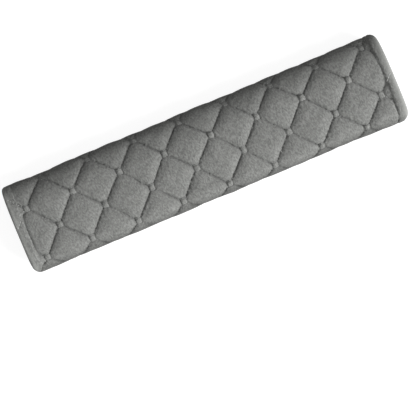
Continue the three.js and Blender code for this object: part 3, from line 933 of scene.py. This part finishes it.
def tape_base(skin, low, high, face_z, base, rings=100, edge_round=0.45, edge_steps=5):
    """The woven base of a tape: a thin slab with rounded long edges, its field facing face_z."""
    x = np.linspace(low.x, high.x, rings)
    round_ = base * edge_round
    profile = []
    turns = np.linspace(-math.pi / 2, math.pi / 2, edge_steps)
    middle = (high.z - base / 2) if face_z < 0 else (low.z + base / 2)
    for turn in turns:
        profile.append((high.y - round_ + round_ * math.cos(turn), middle + base / 2 * math.sin(turn)))
    for turn in turns[::-1]:
        profile.append((low.y + round_ - round_ * math.cos(turn), middle + base / 2 * math.sin(turn)))
    profile = np.array(profile)
    index = skin.add(np.stack([np.column_stack([np.full(len(profile), at), profile]) for at in x]))
    skin.grid(index, wrap=True, flip=True)
    for ring, flip in ((index[0], False), (index[-1], True)):
        fan = np.stack([np.full(len(ring) - 2, ring[0]), ring[2:], ring[1:-1]], 1)
        skin.faces.append(fan[:, ::-1] if flip else fan)


def bent_wires(skin, paths, radius, sides):
    """Thin wires along paths, an array of wires by points by 3, each closed at both ends."""
    run = np.gradient(paths, axis=1)
    run /= np.linalg.norm(run, axis=2)[..., None]
    across = np.cross(run[:, 0], run[:, -1])
    across /= np.linalg.norm(across, axis=1)[:, None]
    across = np.repeat(across[:, None], paths.shape[1], 1)
    up = np.cross(across, run)
    rings = []
    for turn in np.linspace(0, 2 * math.pi, sides, endpoint=False):
        rings.append(paths + radius * (math.cos(turn) * across + math.sin(turn) * up))
    skin.tubes(skin.add(np.stack(rings, 2)))


class MakeTapes(bpy.types.Operator):
    """Makes the loop tape and the hook tape, each with its base and its field of loops or hooks"""

    bl_idname = "belt_pad.tapes"
    bl_label = "Hook and loop tapes"
    BASE = 0.5 * MM
    ROOTED = 0.05 * MM  # how deep the loops and hooks stand in the base
    SELVEDGE = 1 * MM
    SELVEDGES_ACROSS = (1.6 * MM, 1.5 * MM)
    LOOP_PITCH = 1.25 * MM
    LOOP_JITTER = 0.35 * MM
    LOOP_HEIGHTS = (0.75, 1)
    LOOP_REACH = 0.55 * MM
    LOOP_TURNS = (-0.15, 1.15)  # of a half circle
    LOOP_BENDS = 7
    LOOP_LIFT = 0.02 * MM
    LOOP_RADIUS = 0.06 * MM
    HOOK_PITCH = 1.3 * MM
    HOOK_JITTER = 0.05 * MM
    HOOK_RADIUS = 0.08 * MM
    # how far a hook leans over, in millimetres, and how far down it is, as a share of its height
    HOOK_BEND = ((0, 0), (0, 0.45), (0.02, 0.75), (0.14, 0.96), (0.30, 0.94), (0.38, 0.74), (0.37, 0.58))

    def field(self, low, high, pitch, rng, jitter):
        """Places of the loops or hooks, in rows."""
        x = np.arange(low.x + self.SELVEDGE, high.x - self.SELVEDGE, pitch)
        near, far = self.SELVEDGES_ACROSS
        y = np.arange(low.y + near, high.y - far, pitch)
        spots = np.stack(np.meshgrid(x, y, indexing="ij"), -1).reshape(-1, 2)
        return spots + rng.uniform(-jitter, jitter, spots.shape)

    def loops(self, colours):
        rng = np.random.default_rng(SEED + 11)
        skin = Skin()
        tape_base(skin, LOOP_LOW, LOOP_HIGH, 1, self.BASE)
        spots = self.field(LOOP_LOW, LOOP_HIGH, self.LOOP_PITCH, rng, self.LOOP_JITTER)
        root = LOOP_LOW.z + self.BASE - self.ROOTED
        tall = (LOOP_HIGH.z - root - self.LOOP_RADIUS) * rng.uniform(*self.LOOP_HEIGHTS, len(spots))
        heading = rng.uniform(0, math.pi, len(spots))
        ways = np.column_stack([np.cos(heading), np.sin(heading)])
        paths = []
        for t in np.linspace(*self.LOOP_TURNS, self.LOOP_BENDS) * math.pi:
            rise = np.maximum(0, math.sin(t) * tall + self.LOOP_LIFT * (t > 0))
            paths.append(np.column_stack([spots + self.LOOP_REACH * math.cos(t) * ways, root + rise]))
        bent_wires(skin, np.stack(paths, 1), self.LOOP_RADIUS, sides=4)
        tape = skin.mesh("loop_tape_fleece", tape_fleece(colours))
        finish_piece(tape, "loop_tape", "loop_tape")

    def hooks(self, colours):
        rng = np.random.default_rng(SEED + 12)
        skin = Skin()
        tape_base(skin, HOOK_LOW, HOOK_HIGH, -1, self.BASE)
        spots = self.field(HOOK_LOW, HOOK_HIGH, self.HOOK_PITCH, rng, self.HOOK_JITTER)
        root = HOOK_HIGH.z - self.BASE + self.ROOTED
        tall = root - HOOK_LOW.z - self.HOOK_RADIUS
        way = np.where(np.round((spots[:, 1] - HOOK_LOW.y) / self.HOOK_PITCH) % 2 == 0, 1, -1)
        paths = []
        for lean, drop in self.HOOK_BEND:
            x = spots[:, 0] + way * lean * MM
            paths.append(np.column_stack([x, spots[:, 1], np.full(len(spots), root - tall * drop)]))
        bent_wires(skin, np.stack(paths, 1), self.HOOK_RADIUS, sides=5)
        tape = skin.mesh("hook_tape_nylon", hook_nylon(colours))
        finish_piece(tape, "hook_tape", "hook_tape")

    def execute(self, context):
        self.loops(context.scene.pad_colours)
        self.hooks(context.scene.pad_colours)
        return {"FINISHED"}


class Material:
    """A node material that is built up a node at a time."""

    def __init__(self, name, **sockets):
        self.made = bpy.data.materials.new(name)
        self.made.use_nodes = True
        self.tree = self.made.node_tree
        self.tree.nodes.clear()
        self.shader = self.add("ShaderNodeBsdfPrincipled", **sockets)
        self.out = self.add("ShaderNodeOutputMaterial")
        self.link(self.shader.outputs["BSDF"], self.out.inputs["Surface"])
        self.where = self.add("ShaderNodeTexCoord").outputs["Object"]

    def add(self, kind, settings=None, **sockets):
        node = self.tree.nodes.new(kind)
        for key, value in (settings or {}).items():
            setattr(node, key, value)
        for key, value in sockets.items():
            node.inputs[key.replace("_", " ")].default_value = value
        return node

    def link(self, source, target):
        self.tree.links.new(source, target)

    def finish(self, tone, relief):
        """The made material, with its colour and its bumps."""
        self.link(tone, self.shader.inputs["Base Color"])
        self.link(relief, self.shader.inputs["Normal"])
        return self.made

    def painted(self, name):
        """A value that the mesh holds at each of its points."""
        return self.add("ShaderNodeAttribute", {"attribute_name": name}).outputs["Fac"]

    def bands(self, across, scale, distortion):
        """Even bands across one axis."""
        kind = {"bands_direction": across, "wave_profile": "SIN"}
        node = self.add("ShaderNodeTexWave", kind, Scale=scale, Distortion=distortion)
        self.link(self.where, node.inputs["Vector"])
        return node.outputs["Fac"]

    def noise(self, scale, detail=3, stretch=(1, 1, 1), turn=(0, 0, 0), roughness=0.6):
        """Noise with scale features to the metre, drawn out by stretch."""
        turned = self.add("ShaderNodeMapping")
        turned.inputs["Rotation"].default_value = turn
        drawn = self.add("ShaderNodeMapping")
        drawn.inputs["Scale"].default_value = stretch
        self.link(self.where, turned.inputs["Vector"])
        self.link(turned.outputs["Vector"], drawn.inputs["Vector"])
        noise = self.add("ShaderNodeTexNoise", Scale=scale, Detail=detail, Roughness=roughness)
        self.link(drawn.outputs["Vector"], noise.inputs["Vector"])
        return noise.outputs["Fac"]

    def spread(self, source, low, high, to_low=0, to_high=1):
        node = self.add("ShaderNodeMapRange", {"clamp": True})
        for key, value in zip(("From Min", "From Max", "To Min", "To Max"), (low, high, to_low, to_high)):
            node.inputs[key].default_value = value
        self.link(source, node.inputs["Value"])
        return node.outputs["Result"]

    def math(self, operation, first, second):
        node = self.add("ShaderNodeMath", {"operation": operation})
        for socket, value in zip(node.inputs, (first, second)):
            if isinstance(value, (int, float)):
                socket.default_value = value
            else:
                self.link(value, socket)
        return node.outputs["Value"]

    def mix(self, amount, first, second):
        node = self.add("ShaderNodeMix", {"data_type": "RGBA"})
        self.link(amount, node.inputs["Factor"])
        for socket, value in ((node.inputs[6], first), (node.inputs[7], second)):
            if isinstance(value, tuple):
                socket.default_value = value
            else:
                self.link(value, socket)
        return node.outputs[2]

    def bump(self, height, distance, strength, under=None):
        node = self.add("ShaderNodeBump", Strength=strength, Distance=distance)
        self.link(height, node.inputs["Height"])
        if under is not None:
            self.link(under, node.inputs["Normal"])
        return node.outputs["Normal"]


BLACK = (0, 0, 0, 1)
WHITE = (1, 1, 1, 1)


def rgba(value, factor=1):
    return tuple(min(1, channel * factor) for channel in value) + (1,)


def velvet(colours):
    """Short grey pile: soft, matt, brushed one way, with painted shade in the grooves and toward the folds
    and a painted highlight on the hems' tips.
    """
    made = Material("velvet", Roughness=0.95, Sheen_Weight=0.12, Sheen_Roughness=0.5)
    made.shader.inputs["Specular IOR Level"].default_value = 0.15
    made.shader.inputs["Sheen Tint"].default_value = (0.85, 0.87, 0.84, 1)
    lean = (0, 0, math.radians(-12))
    streak = made.noise(800, detail=4, stretch=(1.25, 0.7, 1), turn=lean)
    patch = made.noise(110, detail=2, turn=lean)
    pile = made.noise(3000, detail=2)
    streaks = made.spread(streak, low=0.36, high=0.64, to_high=0.8)
    patches = made.spread(patch, low=0.3, high=0.7, to_high=0.2)
    tone = made.math("ADD", streaks, patches)
    plain = made.mix(tone, rgba(colours.velvet, 0.67), rgba(colours.velvet, 1.34))
    # painted shade in the grooves, by how far the stitches draw the cloth down
    deep = made.spread(made.painted("pressed"), low=0.5, high=1)
    lit = made.mix(deep, plain, rgba(colours.painted_groove_shade))
    # painted highlight on the rolled tips of the hems
    lit = made.mix(made.painted("painted_tip_highlight"), lit, rgba(colours.velvet, 1.5))
    coarse = made.bump(streak, distance=0.5 * MM, strength=0.7)
    fine = made.bump(pile, distance=0.3 * MM, strength=0.9, under=coarse)
    # painted shade: mixes the colour toward black toward the folds
    return made.finish(made.mix(made.painted("shade"), lit, BLACK), fine)


def sewing_thread(name, tone):
    """Twisted polyester thread with a faint gloss."""
    made = Material(name, Roughness=0.5)
    twist = made.noise(3500, detail=1)
    lit = made.mix(twist, rgba(tone, 0.8), rgba(tone, 1.2))
    # painted shade toward the folds, as on the velvet
    return made.finish(made.mix(made.painted("shade"), lit, BLACK), made.bump(twist, 0.1 * MM, 0.6))


def knit(colours):
    """Fine warp knit with thin ribs along the pad."""
    made = Material("lining_knit", Roughness=0.7, Sheen_Weight=0.25)
    ribs = made.bands("Y", scale=190, distortion=0.6)
    rows = made.bands("X", scale=260, distortion=1.2)
    loops = made.math("MULTIPLY", ribs, rows)
    patches = made.spread(made.noise(120), low=0.2, high=0.8, to_low=0.7)
    tone = made.math("MULTIPLY", loops, patches)
    lit = made.mix(tone, rgba(colours.lining, 0.75), rgba(colours.lining, 1.25))
    return made.finish(lit, made.bump(loops, 0.12 * MM, 0.7))


def tape_fleece(colours):
    """Brushed loop pile on a woven base."""
    made = Material("loop_fleece", Roughness=0.8, Sheen_Weight=0.4)
    fuzz = made.noise(1500, detail=3)
    lit = made.mix(fuzz, rgba(colours.loop, 0.7), rgba(colours.loop, 1.4))
    return made.finish(lit, made.bump(fuzz, 0.2 * MM, 0.5))


def hook_nylon(colours):
    """Moulded nylon hooks on a woven base."""
    made = Material("hook_nylon", Roughness=0.45)
    weave = made.noise(1800, detail=1)
    lit = made.mix(weave, rgba(colours.hook, 0.85), rgba(colours.hook, 1.2))
    return made.finish(lit, made.bump(weave, 0.1 * MM, 0.3))


class MakeStage(bpy.types.Operator):
    """Makes the pale floor, the soft lamps and the camera over the pad"""

    bl_idname = "belt_pad.stage"
    bl_label = "Stage"
    # the photograph: its width in pixels, and what it shows of the pad
    PHOTO = 416
    PAD_TURN = math.radians(22.7)
    PIXEL = 0.7214 * MM  # at the height of the pad's folds
    DISTANCE = 0.90
    CENTRE = (12.9 * MM, 37.15 * MM)  # of the pad from the middle of the picture, along and across it
    SENSOR = 36
    FLOOR = 12
    FLOOR_GLOW = 0.86  # lifts the floor to white, for the camera alone
    AMBIENT = 0.34

    def floor(self, colours):
        bpy.ops.mesh.primitive_plane_add(size=self.FLOOR)
        floor = bpy.context.object
        floor.name = "floor"
        made = Material("floor", Roughness=0.9)
        made.shader.inputs["Specular IOR Level"].default_value = 0.1
        made.shader.inputs["Base Color"].default_value = rgba(colours.floor)
        lift = made.add("ShaderNodeEmission")
        path = made.add("ShaderNodeLightPath").outputs["Is Camera Ray"]
        made.link(made.math("MULTIPLY", path, self.FLOOR_GLOW), lift.inputs["Strength"])
        both = made.add("ShaderNodeAddShader")
        made.link(made.shader.outputs["BSDF"], both.inputs[0])
        made.link(lift.outputs["Emission"], both.inputs[1])
        made.link(both.outputs["Shader"], made.out.inputs["Surface"])
        floor.data.materials.append(made.made)

    def surroundings(self):
        """White to the camera, and soft even light to the pad."""
        world = bpy.data.worlds.new("surroundings")
        world.use_nodes = True
        tree = world.node_tree
        light = tree.nodes["Background"]
        light.inputs["Color"].default_value = WHITE
        light.inputs["Strength"].default_value = self.AMBIENT
        seen = tree.nodes.new("ShaderNodeBackground")
        seen.inputs["Color"].default_value = WHITE
        path = tree.nodes.new("ShaderNodeLightPath")
        both = tree.nodes.new("ShaderNodeMixShader")
        tree.links.new(path.outputs["Is Camera Ray"], both.inputs["Fac"])
        tree.links.new(light.outputs["Background"], both.inputs[1])
        tree.links.new(seen.outputs["Background"], both.inputs[2])
        tree.links.new(both.outputs["Shader"], tree.nodes["World Output"].inputs["Surface"])
        return world

    def lamp(self, name, power, size, place):
        """A square lamp that shines on the pad."""
        data = bpy.data.lights.new(name, "AREA")
        data.energy, data.size = power, size
        lamp = bpy.data.objects.new(name, data)
        lamp.location = place
        lamp.rotation_euler = (-Vector(place)).to_track_quat("-Z", "Y").to_euler()
        bpy.context.scene.collection.objects.link(lamp)

    def camera(self):
        data = bpy.data.cameras.new("camera")
        camera = bpy.data.objects.new("camera", data)
        bpy.context.scene.collection.objects.link(camera)
        fold = bpy.context.scene.pad_sizes.fold_height
        seen = self.PHOTO * self.PIXEL
        data.sensor_width = self.SENSOR
        data.lens = data.sensor_width * (self.DISTANCE - fold) / seen
        along, across = self.CENTRE
        camera.location = (-along, -across, self.DISTANCE)
        camera.rotation_euler = (0, 0, -self.PAD_TURN)
        bpy.context.scene.camera = camera

    def execute(self, context):
        self.floor(context.scene.pad_colours)
        context.scene.world = self.surroundings()
        self.lamp("key", power=348, size=1.95, place=(2.79, -2.79, 2.1))
        self.lamp("fill", power=8, size=2.0, place=(-0.8, 0.6, 2.8))
        self.camera()
        context.scene.view_settings.view_transform = "Standard"
        return {"FINISHED"}


OPERATORS = (MakePanel, MakeQuiltingThread, MakeSeamThread, MakeLining, MakeTapes, MakeStage)


class PadPanel(bpy.types.Panel):
    """Lists what makes the belt pad"""

    bl_idname = "VIEW3D_PT_belt_pad"
    bl_label = "Belt pad"
    bl_space_type = "VIEW_3D"
    bl_region_type = "UI"
    bl_category = "Belt pad"

    def draw(self, context):
        for operator in OPERATORS:
            self.layout.operator(operator.bl_idname)
        for group in (context.scene.pad_sizes, context.scene.pad_colours):
            box = self.layout.box()
            for name in group.__annotations__:
                box.prop(group, name)


CLASSES = (PadSizes, PadColours) + OPERATORS + (PadPanel,)


def register():
    for cls in CLASSES:
        bpy.utils.register_class(cls)
    bpy.types.Scene.pad_sizes = bpy.props.PointerProperty(type=PadSizes)
    bpy.types.Scene.pad_colours = bpy.props.PointerProperty(type=PadColours)


def unregister():
    del bpy.types.Scene.pad_colours
    del bpy.types.Scene.pad_sizes
    for cls in reversed(CLASSES):
        bpy.utils.unregister_class(cls)


def main():
    register()
    bpy.ops.belt_pad.quilted_panel()
    bpy.ops.belt_pad.quilting_thread()
    bpy.ops.belt_pad.seam_thread()
    bpy.ops.belt_pad.lining()
    bpy.ops.belt_pad.tapes()
    bpy.ops.belt_pad.stage()


if __name__ == "__main__":
    main()
